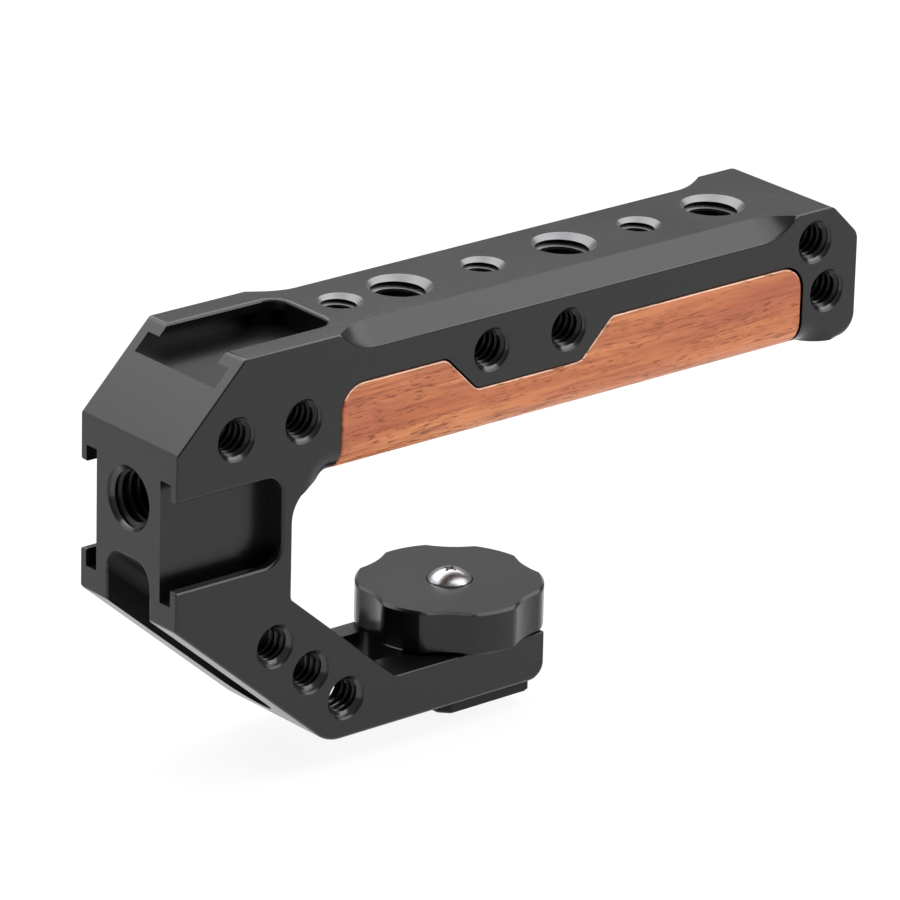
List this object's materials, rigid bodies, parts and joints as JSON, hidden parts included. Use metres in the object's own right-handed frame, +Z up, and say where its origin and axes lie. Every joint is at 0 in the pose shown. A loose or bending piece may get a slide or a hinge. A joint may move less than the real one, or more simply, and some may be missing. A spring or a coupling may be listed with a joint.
{
  "type": "camera top handle",
  "caption": "Machined top handle for a camera or cage: wood grip inlays, accessory shoes, tapped holes and a thumb-knob clamp foot.",
  "frame": {"origin": "centre of the foot plate's underside, on the knob's axis, at rest as pictured", "axes": "+X towards the rear end of the handle, +Y to the right side, +Z up"},
  "size_m": [0.1324, 0.0288, 0.0671],
  "materials": {
    "frame": "black anodised, fine satin",
    "grip": "oiled reddish brown wood, straight grain",
    "bond": "double-sided adhesive sheet",
    "washer": "self-lubricating plastic",
    "knob": "black anodised, satin with turned top",
    "foot": "black coated steel, satin",
    "screw_dark": "plain steel",
    "screw_bright": "bright nickel plated"
  },
  "bodies": {
    "handle": {"handle_frame": "frame", "left_grip_panel": "grip", "right_grip_panel": "grip", "left_bond_sheet": "bond", "right_bond_sheet": "bond", "knob_washer": "washer"},
    "knob": {"knob": "knob"},
    "foot": {"foot_plate": "foot", "clamp_screw": "screw_dark", "cap_screw": "screw_bright"}
  },
  "joints": [
    {"name": "knob_turn", "type": "hinge", "parent": "handle", "child": "knob", "pos_m": [0, 0, 0.0135], "axis": [0, 0, 1], "range_deg": [-195, 510]},
    {"name": "foot_slide", "type": "slide", "parent": "handle", "child": "foot", "axis": [0, 0, -1], "range_m": [-0.00055, 0.00142]}
  ],
  "couplings": [
    {"joint": "foot_slide", "follows": "knob_turn", "m_per_rad": 0.00015915}
  ]
}
